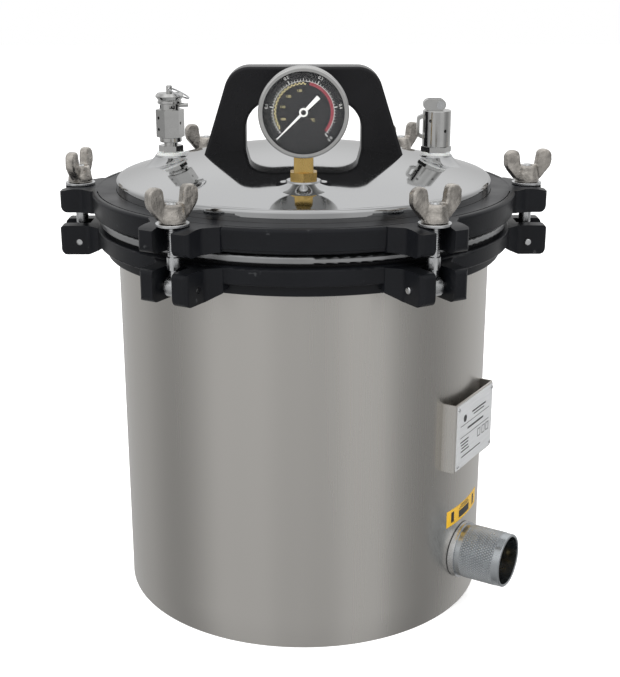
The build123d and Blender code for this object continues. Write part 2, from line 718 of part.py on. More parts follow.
def vent_body():
    x = VALVE_X
    body = cylinder(VALVE_THREAD_R, 346, VENT_NUT_TOP + 1, x, 0)
    barrel = cylinder(VENT_R, VENT_NUT_TOP, VENT_TOP, x, 0)
    barrel = fillet(barrel.edges().filter_by(GeomType.CIRCLE), 0.7)
    body = body + barrel
    body = body - cylinder(4.2, VENT_NUT_TOP + 3, VENT_TOP + 1, x, 0)
    body = body - cylinder(1.6, 340, 370, x, 0)
    for angle, z in ((-58, 378), (-122, 386), (32, 380), (122, 380)):
        hole = rod(1.3, (0, 0, z), (14, 0, z))
        body = body - Pos(x, 0, 0) * Rot(0, 0, angle) * hole
    return body


def vent_clip():
    """The bent spring clip on the vent valve's inboard side."""
    x = VALVE_X - VENT_R
    outer = profile_xz(
        [(x + 1.5, 370.5), (x - 4.6, 373.0), (x - 4.6, 388.5), (x + 1.5, 391)],
        [(1, 3.0), (2, 3.0)], -3.2, 3.2,
    )
    inner = profile_xz(
        [(x + 4, 372.6), (x - 2.6, 375.2), (x - 2.6, 386.3), (x + 4, 388.9)],
        [(1, 1.6), (2, 1.6)], -5, 5,
    )
    return (outer - inner) - cylinder(VENT_R, 360, 395, VALVE_X, 0)


def vent_stem():
    """The vent's needle: a round plunger that ends in a flat tongue for the lever's pin."""
    pivot_x, pivot_z = LEVER_PIVOT
    plunger = cylinder(4.1, 372, VENT_TOP - 1.5, VALVE_X, 0)
    half = TONGUE_HALF_Y
    neck = block(VALVE_X - 2.8, VALVE_X + 2.8, -half, half, VENT_TOP - 2, VENT_TOP + 1.0)
    tongue = block(VALVE_X - 2.0, pivot_x + 2.6, -half, half, VENT_TOP + 0.4, pivot_z + 2.6)
    return plunger + neck + tongue - rod(1.75, (pivot_x, -9, pivot_z), (pivot_x, 9, pivot_z))


def lever_pin():
    pivot_x, pivot_z = LEVER_PIVOT
    shaft = rod(1.7, (pivot_x, -LEVER_HALF_Y, pivot_z), (pivot_x, LEVER_HALF_Y, pivot_z))
    for way in (-1, 1):
        near, far = way * LEVER_HALF_Y, way * (LEVER_HALF_Y + 1.1)
        shaft = shaft + rod(3.2, (pivot_x, near, pivot_z), (pivot_x, far, pivot_z))
    return shaft


def vent_lever():
    """A round-ended toggle, forked over the stem's tongue."""
    pivot_x, pivot_z = LEVER_PIVOT
    far_x = pivot_x - (LEVER_LENGTH - 2 * LEVER_R)
    half = LEVER_HALF_Y
    round_r = LEVER_R - 0.1
    plate = rod(round_r, (pivot_x, -half, pivot_z), (pivot_x, half, pivot_z))
    plate = plate + rod(round_r, (far_x, -half, pivot_z), (far_x, half, pivot_z))
    plate = plate + block(far_x, pivot_x, -half, half, pivot_z - round_r, pivot_z + round_r)
    fork = TONGUE_HALF_Y + 0.3
    gap = block(VALVE_X - 7.5, pivot_x + 9, -fork, fork, 380, 410)
    return plate - gap - rod(1.7, (pivot_x, -9, pivot_z), (pivot_x, 9, pivot_z))


# ---- clamps ------------------------------------------------------------------
def eye_bolt():
    r = BOLT_CIRCLE_R
    eye = rod(EYE_R, (r, -EYE_T / 2, PIN_Z), (r, EYE_T / 2, PIN_Z))
    eye = fillet(eye.edges().filter_by(GeomType.CIRCLE), 0.8)
    bolt = eye + cylinder(NECK_R, PIN_Z, SHANK_Z[0] + 0.5, r, 0)
    shank = cylinder(SHANK_R, *SHANK_Z, r, 0)
    bolt = bolt + chamfer(shank.edges().filter_by(GeomType.CIRCLE), 0.6)
    thread = cylinder(THREAD_R, SHANK_Z[1] - 0.5, BOLT_END, r, 0)
    bolt = bolt + chamfer(thread.edges().sort_by(Axis.Z)[-1], 0.9)
    return bolt - rod(PIN_R + PIN_CLEARANCE, (r, -9, PIN_Z), (r, 9, PIN_Z))


def clamp_washer():
    z0, z1 = WASHER_Z
    ring = cylinder(WASHER_R, z0, z1, BOLT_CIRCLE_R, 0)
    ring = fillet(ring.edges().filter_by(GeomType.CIRCLE), 0.45)
    return ring - cylinder(WASHER_BORE_R, z0 - 1, z1 + 1, BOLT_CIRCLE_R, 0)


def wing_nut():
    """A cast wing nut: a tapered hub and two upright rounded wings."""
    low, high = NUT_HUB_R
    z0 = NUT_BOTTOM
    z1 = z0 + NUT_HUB_H
    hub = turned([(0, z0), (low, z0), (low, z0 + 2.5), (high, z1), (0, z1)], [(1, 0.6), (3, 1.4)])
    reach = NUT_SPAN / 2
    top = NUT_HEIGHT
    nut = hub
    for way in (-1, 1):
        face = make_face(Polyline(
            (way * 4.5, 1.2), (way * 10.0, 1.2), (way * reach, 13.0), (way * reach, top),
            (way * 8.6, top), (way * 6.6, 12.0), (way * 4.5, 12.0), close=True,
        ))
        for corner, radius in (
            ((10.0, 1.2), 4.0), ((reach, 13.0), 9.0), ((reach, top), 6.0),
            ((8.6, top), 4.6), ((6.6, 12.0), 2.0),
        ):
            near = face.vertices().sort_by_distance(Vector(way * corner[0], corner[1], 0))[0]
            face = fillet(near, radius)
        plane = Plane(origin=(0, -WING_T / 2, z0), x_dir=(1, 0, 0), z_dir=(0, -1, 0))
        wing = extrude(plane * face, -WING_T)
        rims = [e for e in wing.edges() if abs(abs(e.center().Y) - WING_T / 2) < 0.01
                and abs(e.center().X) > 7.2]
        nut = nut + fillet(rims, 1.5)
    return nut - cylinder(NUT_BORE_R, z0 - 1, z1 + 5)


# ---- writing every node --------------------------------------------------------
NUT_TURNS = [15, 35, 25, 76, 38, 28]  # how far each wing nut is turned, in degrees
MAKERS = (
    outer_shell, base_plate, chamber, body_ring, heating_element, heater_fixings, sieve_plate,
    nameplate_bracket, nameplate, nameplate_rivets, inlet_gasket, inlet_collar, inlet_shroud,
    terminal_block, contact_pins, basket, basket_bail, lid_dome, lid_ring, lid_gasket, lid_handle,
    handle_screws, gauge_case, gauge_bezel, gauge_dial, gauge_glass, gauge_movement, gauge_needle,
    gauge_block, gauge_nut, fitting_seals, valve_nuts, relief_body, relief_stem, relief_spring,
    relief_ring, vent_body, vent_clip, vent_stem, vent_lever, lever_pin,
)


def write_all():
    for make in MAKERS:
        write(make.__name__, make())
    write("clevis_pins", around(clevis_pin))
    for index, azimuth in enumerate(CLAMP_AZIMUTHS):
        turn = Rot(0, 0, azimuth)
        nut = Pos(BOLT_CIRCLE_R, 0, 0) * Rot(0, 0, NUT_TURNS[index] - azimuth) * wing_nut()
        write(f"eye_bolt_{index + 1}", turn * eye_bolt())
        write(f"washer_{index + 1}", turn * clamp_washer())
        write(f"wing_nut_{index + 1}", turn * nut)


write_all()
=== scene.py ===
"""Looks for the benchtop autoclave: studio, materials and fine detail around the CAD frame.

Metres, in the row's frame: +Z up, the front faces -Y, the base stands on z = 0.
"""

import json
import math

import bmesh
import bpy
from mathutils import Matrix, Vector, noise


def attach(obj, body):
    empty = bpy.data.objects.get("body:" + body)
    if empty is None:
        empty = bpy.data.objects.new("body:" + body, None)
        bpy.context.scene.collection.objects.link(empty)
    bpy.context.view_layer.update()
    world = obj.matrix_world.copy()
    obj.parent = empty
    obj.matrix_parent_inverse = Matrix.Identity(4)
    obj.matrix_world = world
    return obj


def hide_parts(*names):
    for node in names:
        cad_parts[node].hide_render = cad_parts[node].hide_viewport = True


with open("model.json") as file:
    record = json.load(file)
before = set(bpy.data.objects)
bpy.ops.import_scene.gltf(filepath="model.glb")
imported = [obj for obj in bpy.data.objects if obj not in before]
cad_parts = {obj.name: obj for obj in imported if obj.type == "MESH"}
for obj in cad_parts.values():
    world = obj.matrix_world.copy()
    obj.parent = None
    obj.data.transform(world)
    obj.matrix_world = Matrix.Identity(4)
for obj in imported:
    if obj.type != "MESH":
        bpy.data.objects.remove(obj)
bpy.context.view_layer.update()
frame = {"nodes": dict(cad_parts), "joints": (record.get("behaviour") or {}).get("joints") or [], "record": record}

MM = 0.001
NODES = frame["nodes"]
JOINTS = {joint["name"]: joint for joint in frame["joints"]}


# ---- mesh helpers ------------------------------------------------------------
def add_object(name, data, body=None, material=None, replaced=()):
    """Links a new piece, and says what it rides on, its material and what it replaces."""
    piece = bpy.data.objects.new(name, data)
    bpy.context.scene.collection.objects.link(piece)
    if material:
        data.materials.append(material)
    if body:
        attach(piece, body)
    if replaced:
        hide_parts(*replaced)
    return piece


def mesh_from(name, verts, faces, smooth_angle=35.0):
    """A smooth-shaded mesh, sharp where its faces meet at more than smooth_angle degrees."""
    mesh = bpy.data.meshes.new(name)
    mesh.from_pydata(verts, [], faces)
    mesh.validate()
    smooth(mesh, smooth_angle)
    return mesh


def smooth(mesh, angle=35.0):
    mesh.polygons.foreach_set("use_smooth", [True] * len(mesh.polygons))
    mesh.set_sharp_from_angle(angle=math.radians(angle))


def lathe_mesh(name, outline, segments=192, closed=True, smooth_angle=35.0):
    """Turns an outline of (radius, height) points in mm about Z. A closed outline makes a ring."""
    verts, faces = [], []
    count = len(outline)
    for step in range(segments):
        angle = math.tau * step / segments
        c, s = math.cos(angle), math.sin(angle)
        verts += [(r * c * MM, r * s * MM, z * MM) for r, z in outline]
    spans = count if closed else count - 1
    for step in range(segments):
        a, b = step * count, (step + 1) % segments * count
        for k in range(spans):
            n = (k + 1) % count
            faces.append((a + k, b + k, b + n, a + n))
    mesh = bpy.data.meshes.new(name)
    mesh.from_pydata(verts, [], faces)
    work = bmesh.new()
    work.from_mesh(mesh)
    bmesh.ops.remove_doubles(work, verts=work.verts, dist=1e-7)
    bmesh.ops.recalc_face_normals(work, faces=work.faces)
    work.to_mesh(mesh)
    work.free()
    mesh.validate()
    smooth(mesh, smooth_angle)
    return mesh


def arc(centre, radius, start, end, steps):
    """Points on an arc in the outline plane, angles in degrees from the +radius direction."""
    points = []
    for step in range(steps + 1):
        angle = math.radians(start + (end - start) * step / steps)
        points.append((centre[0] + radius * math.cos(angle), centre[1] + radius * math.sin(angle)))
    return points


def plate_mesh(name, outline, thickness, place):
    """A thin flat prism: a 2-D outline in mm, thickened along its normal, moved by place."""
    work = bmesh.new()
    face = work.faces.new([work.verts.new((x * MM, y * MM, 0)) for x, y in outline])
    grown = bmesh.ops.extrude_face_region(work, geom=[face])
    top = [v for v in grown["geom"] if isinstance(v, bmesh.types.BMVert)]
    bmesh.ops.translate(work, verts=top, vec=(0, 0, thickness * MM))
    bmesh.ops.recalc_face_normals(work, faces=work.faces)
    work.transform(place)
    mesh = bpy.data.meshes.new(name)
    work.to_mesh(mesh)
    work.free()
    return mesh


def joined(name, meshes):
    """One mesh made of several."""
    work = bmesh.new()
    for mesh in meshes:
        work.from_mesh(mesh)
        bpy.data.meshes.remove(mesh)
    out = bpy.data.meshes.new(name)
    work.to_mesh(out)
    work.free()
    return out


# ---- materials ---------------------------------------------------------------
class Shader:
    """A small wrapper that keeps node building readable."""

    def __init__(self, name, colour, metallic, roughness, **uniform):
        self.material = bpy.data.materials.new(name)
        self.material.use_nodes = True
        self.tree = self.material.node_tree
        self.bsdf = self.tree.nodes["Principled BSDF"]
        self.bsdf.inputs["Base Color"].default_value = (*colour, 1)
        self.bsdf.inputs["Metallic"].default_value = metallic
        self.bsdf.inputs["Roughness"].default_value = roughness
        for socket, value in uniform.items():
            self.bsdf.inputs[socket.replace("_", " ")].default_value = value
        self.colour, self.roughness = colour, roughness
        self.coords = self.tree.nodes.new("ShaderNodeTexCoord").outputs["Object"]

    def link(self, source, target):
        self.tree.links.new(source, target)

    def noise(self, scale, detail=3.0, stretch=(1, 1, 1), distortion=0.0):
        """Fractal noise in object space; stretch squeezes it along each axis."""
        mapping = self.tree.nodes.new("ShaderNodeMapping")
        mapping.inputs["Scale"].default_value = stretch
        self.link(self.coords, mapping.inputs["Vector"])
        node = self.tree.nodes.new("ShaderNodeTexNoise")
        node.inputs["Scale"].default_value = scale
        node.inputs["Detail"].default_value = detail
        node.inputs["Distortion"].default_value = distortion
        self.link(mapping.outputs["Vector"], node.inputs["Vector"])
        return node.outputs["Fac"]

    def spread(self, value, low, high, start=0.3, end=0.7):
        """Maps a noise value onto low to high."""
        node = self.tree.nodes.new("ShaderNodeMapRange")
        node.inputs["From Min"].default_value = start
        node.inputs["From Max"].default_value = end
        node.inputs["To Min"].default_value = low
        node.inputs["To Max"].default_value = high
        self.link(value, node.inputs["Value"])
        return node.outputs["Result"]

    def mix(self, factor, first, second):
        """Mixes two colours, each a tuple or a socket."""
        node = self.tree.nodes.new("ShaderNodeMix")
        node.data_type = "RGBA"
        for socket, value in ((node.inputs[6], first), (node.inputs[7], second)):
            if isinstance(value, tuple):
                socket.default_value = (*value, 1)
            else:
                self.link(value, socket)
        self.link(factor, node.inputs[0])
        return node.outputs[2]

    def math(self, operation, first, second):
        node = self.tree.nodes.new("ShaderNodeMath")
        node.operation = operation
        for socket, value in zip(node.inputs, (first, second)):
            if isinstance(value, (int, float)):
                socket.default_value = value
            else:
                self.link(value, socket)
        return node.outputs[0]

    def edges(self, low=0.52, high=0.6):
        """One on sharp outer edges, nothing elsewhere."""
        geometry = self.tree.nodes.new("ShaderNodeNewGeometry")
        return self.spread(geometry.outputs["Pointiness"], 0.0, 1.0, low, high)

    def set_colour(self, socket):
        self.link(socket, self.bsdf.inputs["Base Color"])

    def set_roughness(self, socket):
        self.link(socket, self.bsdf.inputs["Roughness"])

    def bump(self, height, strength, distance):
        node = self.tree.nodes.new("ShaderNodeBump")
        node.inputs["Strength"].default_value = strength
        node.inputs["Distance"].default_value = distance
        self.link(height, node.inputs["Height"])
        self.link(node.outputs["Normal"], self.bsdf.inputs["Normal"])


def shade(colour, factor):
    return tuple(min(1.0, channel * factor) for channel in colour)


def barrel_steel():
    """Rolled and buffed stainless sheet: its reflections are drawn out up and down, and its colour carries faint
    tall light and dark bands of painted reflection.
    """
    s = Shader("barrel_steel", (0.67, 0.65, 0.615), 1.0, 0.27, Anisotropic=0.8, Anisotropic_Rotation=0.25)
    tangent = s.tree.nodes.new("ShaderNodeTangent")
    tangent.direction_type = "RADIAL"
    tangent.axis = "Z"
    s.link(tangent.outputs["Tangent"], s.bsdf.inputs["Tangent"])
    grain = s.noise(300, 2.0, (1.0, 1.0, 0.02))
    broad = s.noise(9, 3.0, (1, 1, 0.15))
    # broad is stretched tall, so the light and dark vertical bands it puts in the colour are painted reflection
    # bands
    s.set_colour(s.mix(broad, shade(s.colour, 0.95), shade(s.colour, 1.04)))
    s.set_roughness(s.math("ADD", s.spread(broad, 0.24, 0.29), s.spread(grain, -0.01, 0.01)))
    return s.material


def vessel_steel():
    """Drawn and polished stainless inside the vessel, with faint turned rings."""
    s = Shader("vessel_steel", (0.50, 0.50, 0.49), 1.0, 0.24)
    rings = s.noise(900, 1.0, (0.02, 0.02, 1.0))
    patches = s.noise(18, 3.0)
    s.set_colour(s.mix(patches, shade(s.colour, 0.9), shade(s.colour, 1.06)))
    s.set_roughness(s.spread(patches, 0.18, 0.30))
    s.bump(rings, 0.06, 0.0002)
    return s.material


def flange_steel():
    s = Shader("flange_steel", (0.40, 0.405, 0.41), 1.0, 0.33)
    patches = s.noise(60, 3.0)
    s.set_colour(s.mix(patches, shade(s.colour, 0.8), shade(s.colour, 1.2)))
    s.set_roughness(s.spread(patches, 0.27, 0.42))
    s.bump(s.noise(500, 2.0), 0.05, 0.0002)
    return s.material


def mirror_steel():
    """The buffed dome: almost a mirror, with faint haze and hairline polishing marks."""
    s = Shader("mirror_steel", (0.50, 0.505, 0.51), 1.0, 0.045)
    haze = s.noise(9, 4.0)
    hair = s.noise(1400, 1.0, (0.05, 1.0, 1.0))
    s.set_colour(s.mix(haze, shade(s.colour, 0.96), shade(s.colour, 1.03)))
    s.set_roughness(s.math("ADD", s.spread(haze, 0.03, 0.07), s.spread(hair, 0.0, 0.02)))
    return s.material


def chrome():
    """Polished plated fittings, a little uneven from the buffing wheel."""
    s = Shader("chrome", (0.62, 0.62, 0.61), 1.0, 0.11)
    patches = s.noise(150, 3.0)
    s.set_colour(s.mix(patches, shade(s.colour, 0.86), shade(s.colour, 1.08)))
    s.set_roughness(s.spread(patches, 0.07, 0.19))
    s.bump(s.noise(700, 2.0), 0.06, 0.0002)
    return s.material


def black_casting():
    """Satin black paint over a sand casting: orange peel and a few bare specks."""
    s = Shader("black_casting", (0.0055, 0.006, 0.0075), 0.0, 0.34, Specular_IOR_Level=0.2)
    peel = s.noise(420, 3.0)
    broad = s.noise(30, 4.0)
    specks = s.spread(s.noise(170, 6.0), 0.0, 1.0, 0.70, 0.74)
    painted = s.mix(broad, shade(s.colour, 0.7), shade(s.colour, 1.4))
    s.set_colour(s.mix(specks, painted, (0.03, 0.031, 0.033)))
    s.set_roughness(s.spread(broad, 0.28, 0.40))
    s.bump(peel, 0.12, 0.0004)
    return s.material


def handle_black():
    """Glossy moulded phenolic with a faint swirl."""
    s = Shader(
        "handle_black", (0.005, 0.005, 0.006), 0.0, 0.26,
        Specular_IOR_Level=0.25, Coat_Weight=0.08, Coat_Roughness=0.15,
    )
    swirl = s.noise(45, 4.0, distortion=0.6)
    s.set_colour(s.mix(swirl, shade(s.colour, 0.7), shade(s.colour, 1.5)))
    s.set_roughness(s.spread(swirl, 0.22, 0.32))
    s.bump(s.noise(600, 2.0), 0.04, 0.0002)
    return s.material


def cast_nickel():
    """Nickel-plated casting: grainy skin, brown-grey in its hollows, bright on its edges."""
    s = Shader("cast_nickel", (0.60, 0.565, 0.52), 1.0, 0.3)
    grain = s.noise(650, 4.0)
    broad = s.noise(110, 3.0)
    body = s.mix(s.spread(broad, 0, 1, 0.35, 0.65), shade(s.colour, 0.62), shade(s.colour, 1.12))
    s.set_colour(s.mix(s.edges(0.53, 0.62), body, (0.78, 0.76, 0.72)))
    s.set_roughness(s.spread(grain, 0.22, 0.42))
    s.bump(grain, 0.35, 0.0005)
    return s.material


def zinc():
    """Bright zinc plate with a cloudy, slightly blue spangle."""
    s = Shader("zinc", (0.74, 0.75, 0.76), 1.0, 0.22)
    spangle = s.noise(320, 2.0)
    s.set_colour(s.mix(spangle, shade(s.colour, 0.72), shade(s.colour, 1.1)))
    s.set_roughness(s.spread(spangle, 0.16, 0.32))
    s.bump(s.noise(900, 2.0), 0.08, 0.0002)
    return s.material


def brass():
    """Machined brass, tool marks still on it and dulled in places."""
    s = Shader("brass", (0.80, 0.56, 0.20), 1.0, 0.25)
    dull = s.noise(120, 4.0)
    s.set_colour(s.mix(dull, (0.56, 0.38, 0.13), shade(s.colour, 1.1)))
    s.set_roughness(s.spread(dull, 0.34, 0.17))
    s.bump(s.noise(1200, 1.0, (1, 1, 0.1)), 0.06, 0.0002)
    return s.material


def white_seal():
    s = Shader("white_seal", (0.80, 0.80, 0.78), 0.0, 0.42, Subsurface_Weight=0.05)
    cloud = s.noise(90, 3.0)
    s.set_colour(s.mix(cloud, (0.70, 0.70, 0.68), (0.86, 0.86, 0.84)))
    s.set_roughness(s.spread(cloud, 0.36, 0.5))
    s.bump(s.noise(1000, 2.0), 0.05, 0.0002)
    return s.material


def rubber():
    s = Shader("rubber", (0.014, 0.014, 0.015), 0.0, 0.62)
    bloom = s.noise(80, 4.0)
    s.set_colour(s.mix(bloom, (0.009, 0.009, 0.010), (0.028, 0.028, 0.029)))
    s.set_roughness(s.spread(bloom, 0.52, 0.72))
    s.bump(s.noise(800, 3.0), 0.15, 0.0003)
    return s.material


def black_plastic():
    s = Shader("black_plastic", (0.012, 0.012, 0.012), 0.0, 0.45)
    mottle = s.noise(200, 3.0)
    s.set_colour(s.mix(mottle, (0.008, 0.008, 0.008), (0.02, 0.02, 0.02)))
    s.set_roughness(s.spread(mottle, 0.38, 0.55))
    s.bump(s.noise(700, 2.0), 0.1, 0.0003)
    return s.material


def plate_metal():
    """Brushed aluminium sheet for the nameplate, its grain running along its length."""
    s = Shader("plate_metal", (0.86, 0.87, 0.88), 0.75, 0.42)
    grain = s.noise(900, 1.0, (0.06, 0.06, 1.0))
    s.set_colour(s.mix(grain, shade(s.colour, 0.88), shade(s.colour, 1.08)))
    s.set_roughness(s.spread(grain, 0.38, 0.48))
    s.bump(grain, 0.05, 0.0002)
    return s.material


def knurled_metal():
    s = Shader("knurled_metal", (0.50, 0.525, 0.545), 1.0, 0.24)
    patches = s.noise(90, 3.0)
    body = s.mix(patches, shade(s.colour, 0.78), shade(s.colour, 1.1))
    s.set_colour(s.mix(s.edges(0.53, 0.62), body, (0.80, 0.81, 0.82)))
    s.set_roughness(s.spread(patches, 0.18, 0.30))
    s.bump(s.noise(900, 2.0), 0.06, 0.0002)
    return s.material


def dial_black():
    s = Shader("dial_black", (0.007, 0.0075, 0.009), 0.0, 0.5, Specular_IOR_Level=0.12)
    fleck = s.noise(1500, 2.0)
    s.set_colour(s.mix(fleck, (0.008, 0.008, 0.009), (0.015, 0.016, 0.018)))
    s.set_roughness(s.spread(fleck, 0.44, 0.56))
    s.bump(fleck, 0.04, 0.0001)
    return s.material


def ink(name, colour, roughness=0.45):
    """Printed ink, very slightly uneven."""
    s = Shader(name, colour, 0.0, roughness)
    uneven = s.noise(1300, 2.0)
    s.set_colour(s.mix(uneven, shade(colour, 0.82), shade(colour, 1.05)))
    s.set_roughness(s.spread(uneven, roughness - 0.06, roughness + 0.06))
    return s.material


GLASS_ALPHA = 0.015


def clear_glass():
    """A flat window: nearly clear, with a plain gloss."""
    s = Shader("clear_glass", (1, 1, 1), 0.0, 0.02, Alpha=GLASS_ALPHA, Specular_IOR_Level=0.1)
    smear = s.noise(60, 3.0)
    s.set_roughness(s.spread(smear, 0.01, 0.05))
    return s.material


MATERIALS = {
    "barrel_steel": barrel_steel(),
    "vessel_steel": vessel_steel(),
    "chrome": chrome(),
    "cast_black": black_casting(),
    "handle_black": handle_black(),
    "cast_nickel": cast_nickel(),
    "zinc": zinc(),
    "brass": brass(),
    "white_seal": white_seal(),
    "rubber": rubber(),
    "black_plastic": black_plastic(),
    "plate": plate_metal(),
    "knurled_metal": knurled_metal(),
    "dial": dial_black(),
    "needle_white": ink("needle_white", (0.78, 0.78, 0.76), 0.4),
    "clear_glass": clear_glass(),
}
MIRROR = mirror_steel()
FLANGE = flange_steel()
INK_WHITE = ink("ink_white", (0.74, 0.74, 0.72))
INK_YELLOW = ink("ink_yellow", (0.58, 0.50, 0.24))
INK_RED = ink("ink_red", (0.26, 0.02, 0.035))
INK_BLACK = ink("ink_black", (0.02, 0.02, 0.022))
LABEL_YELLOW = ink("label_yellow", (0.74, 0.43, 0.015), 0.4)

SLOT_OF = {entry["node"]: entry["material_slot"] for entry in frame["record"]["subparts"]}
for node, piece in NODES.items():
    piece.data.materials.clear()
    piece.data.materials.append(MATERIALS[SLOT_OF[node]])
    smooth(piece.data, 32.0)


def darken_flange():
    """The vessel's flange, between the two rings, is darker steel than the vessel."""
    data = NODES["chamber"].data
    data.materials.append(FLANGE)
    for polygon in data.polygons:
        if polygon.center.z > FLANGE_FROM * MM:
            polygon.material_index = 1


FLANGE_FROM = 307.0
darken_flange()


# ---- barrel and dome ---------------------------------------------------------
BARREL_R, BARREL_TOP, SHELL_T = 150.0, 284.0, 0.8


def barrel():
    """The rolled shell with a small hemmed foot, and the weld that closes it at the back."""
    outline = arc((BARREL_R - 0.4, 0.4), 0.4, -90, 0, 4)
    outline += [(BARREL_R, BARREL_TOP * step / 12) for step in range(1, 13)]
    outline += [(BARREL_R - SHELL_T, BARREL_TOP), (BARREL_R - SHELL_T, 0.0)]
    mesh = lathe_mesh("barrel_shell", outline, 360)
    add_object("barrel_shell", mesh, "body", MATERIALS["barrel_steel"], ("outer_shell",))
    verts, faces = [], []
    across, rows = 6, 140
    for row in range(rows + 1):
        z = 1.0 + (BARREL_TOP - 2.0) * row / rows
        for k in range(across + 1):
            u = k / across
            swell = math.sin(math.pi * u) * (0.22 + 0.06 * math.sin(row * 2.1))
            angle = math.pi / 2 + (u - 0.5) * 3.2 / BARREL_R
            r = BARREL_R - 0.02 + swell
            verts.append((r * math.cos(angle) * MM, r * math.sin(angle) * MM, z * MM))
    for row in range(rows):
        for k in range(across):
            a = row * (across + 1) + k
            faces.append((a + 1, a, a + across + 1, a + across + 2))
    seam = mesh_from("barrel_seam", verts, faces)
    add_object("barrel_seam", seam, "body", MATERIALS["barrel_steel"])


barrel()


# ---- dome --------------------------------------------------------------------
SPHERE_R, DOME_TOP, RIM_R = 475.0, 366.3, 149.5
VALVE_X = 106.0
GAUGE_Y = -105.0
PADS = {"left": (-VALVE_X, 0.0, 358.6), "right": (VALVE_X, 0.0, 358.6), "front": (0.0, GAUGE_Y, 357.0)}
PAD_NECK, PAD_FOOT = 13.0, 24.0
SHEET = 1.5


def dome_z(radius, offset=0.0):
    return DOME_TOP - SPHERE_R + math.sqrt((SPHERE_R + offset) ** 2 - radius**2)


def dome_pad(side, x, y, top):
    """A seat that flares out of the dome's skin under a fitting."""
    pad = [(0.5, top), (12.2, top)] + arc((12.2, top - 0.5), 0.5, 90, 35, 3)
    pad += [(PAD_NECK + (PAD_FOOT - PAD_NECK) * k / 10, top - 1) for k in range(11)]
    pad += [(PAD_FOOT, top - 2), (0.5, top - 2)]
    mesh = lathe_mesh(f"dome_pad_{side}", pad, 96)
    mesh.transform(Matrix.Translation((x * MM, y * MM, 0)))
    for v in mesh.vertices:
        out = math.hypot(v.co.x - x * MM, v.co.y - y * MM) / MM
        skin = dome_z(math.hypot(v.co.x, v.co.y) / MM)
        if out > PAD_NECK - 0.01:
            share = (PAD_FOOT - out) / (PAD_FOOT - PAD_NECK)
            v.co.z = (skin - 0.3 + (v.co.z / MM - skin) * share**2) * MM
        elif v.co.z < (top - 1.5) * MM:
            v.co.z = (skin - 0.6) * MM
    add_object(f"dome_pad_{side}", mesh, "lid", MIRROR)


def dome():
    """The spun cap with its rolled shoulder, its skirt and the hidden clamping flange."""
    shoulder = RIM_R - 3.5
    outline = [(shoulder * k / 40, dome_z(shoulder * k / 40)) for k in range(41)]
    edge = dome_z(shoulder)
    outline += arc((shoulder + 0.2, edge - 2.9), 3.3, 80, 0, 10)
    outline += [(RIM_R, 336), (RIM_R, 318.5), (156, 318.5), (156, 317.0), (RIM_R - SHEET, 317.0)]
    inner = shoulder - 0.6
    outline += [(RIM_R - SHEET, edge - 4.0)]
    outline += [(inner * (20 - k) / 20, dome_z(inner * (20 - k) / 20, -SHEET)) for k in range(21)]
    mesh = lathe_mesh("dome_shell", outline, 288, closed=False, smooth_angle=40)
    add_object("dome_shell", mesh, "lid", MIRROR, ("lid_dome",))
    for side, (x, y, top) in PADS.items():
        dome_pad(side, x, y, top)


dome()


# ---- clamps ------------------------------------------------------------------
CLAMPS = range(1, 7)
THREAD_PITCH = 1.25
EASE_STEPS = 6


def bolt_axis(index):
    """The clamp's place in plan, in metres."""
    pin = JOINTS[f"bolt_swing_{index}"]["pos_m"]
    return Vector((pin[0], pin[1], 0))


def thread_mesh(name, radius, depth, z0, z1, place):
    """A helical vee ridge round a rod, tapering away at each end."""
    per_turn = 28
    steps = int((z1 - z0) / THREAD_PITCH * per_turn)
    verts, faces = [], []
    for step in range(steps + 1):
        angle = math.tau * step / per_turn
        z = z0 + (z1 - z0) * step / steps
        taper = min(1.0, step / per_turn, (steps - step) / per_turn)
        half = THREAD_PITCH * 0.42 * taper + 0.01
        for r, dz in ((radius - 0.12, -half), (radius + depth * taper, 0.0), (radius - 0.12, half)):
            verts.append(place @ Vector((r * math.cos(angle) * MM, r * math.sin(angle) * MM, (z + dz) * MM)))
    for step in range(steps):
        a = 3 * step
        for k in (0, 1, 2):
            n = (k + 1) % 3
            faces.append((a + k, a + 3 + k, a + 3 + n, a + n))
    faces += [(2, 1, 0), (3 * steps, 3 * steps + 1, 3 * steps + 2)]
    return mesh_from(name, verts, faces, 25)


def threads():
    for index in CLAMPS:
        place = Matrix.Translation(bolt_axis(index))
        mesh = thread_mesh(f"bolt_thread_{index}", 4.0, 0.22, 314.0, 333.6, place)
        add_object(f"bolt_thread_{index}", mesh, f"eye_bolt_{index}", MATERIALS["zinc"])
        tip = thread_mesh(f"bolt_tip_{index}", 3.55, 0.3, 349.0, 350.4, place)
        add_object(f"bolt_tip_{index}", tip, f"eye_bolt_{index}", MATERIALS["zinc"])


def cast_skin(source, name, voxel, grain, seed):
    """A copy of a CAD mesh, remeshed fine, eased round its corners and given a cast skin."""
    piece = bpy.data.objects.new(name, source.data.copy())
    bpy.context.scene.collection.objects.link(piece)
    remesh = piece.modifiers.new("remesh", "REMESH")
    remesh.mode = "VOXEL"
    remesh.voxel_size = voxel * MM
    ease = piece.modifiers.new("ease", "SMOOTH")
    ease.factor = 0.5
    ease.iterations = EASE_STEPS
    graph = bpy.context.evaluated_depsgraph_get()
    mesh = bpy.data.meshes.new_from_object(piece.evaluated_get(graph))
    piece.modifiers.clear()
    old, piece.data = piece.data, mesh
    bpy.data.meshes.remove(old)
    mesh.name = name
    shift = Vector((seed * 7.3, seed * 3.1, seed * 5.7))
    normals = [v.normal.copy() for v in mesh.vertices]
    for v, normal in zip(mesh.vertices, normals):
        coarse = noise.noise(v.co * 260 + shift)
        fine = noise.noise(v.co * 900 + shift)
        v.co += normal * (coarse * 0.22 + fine * 0.12) * grain * MM
    smooth(mesh, 60)
    return piece


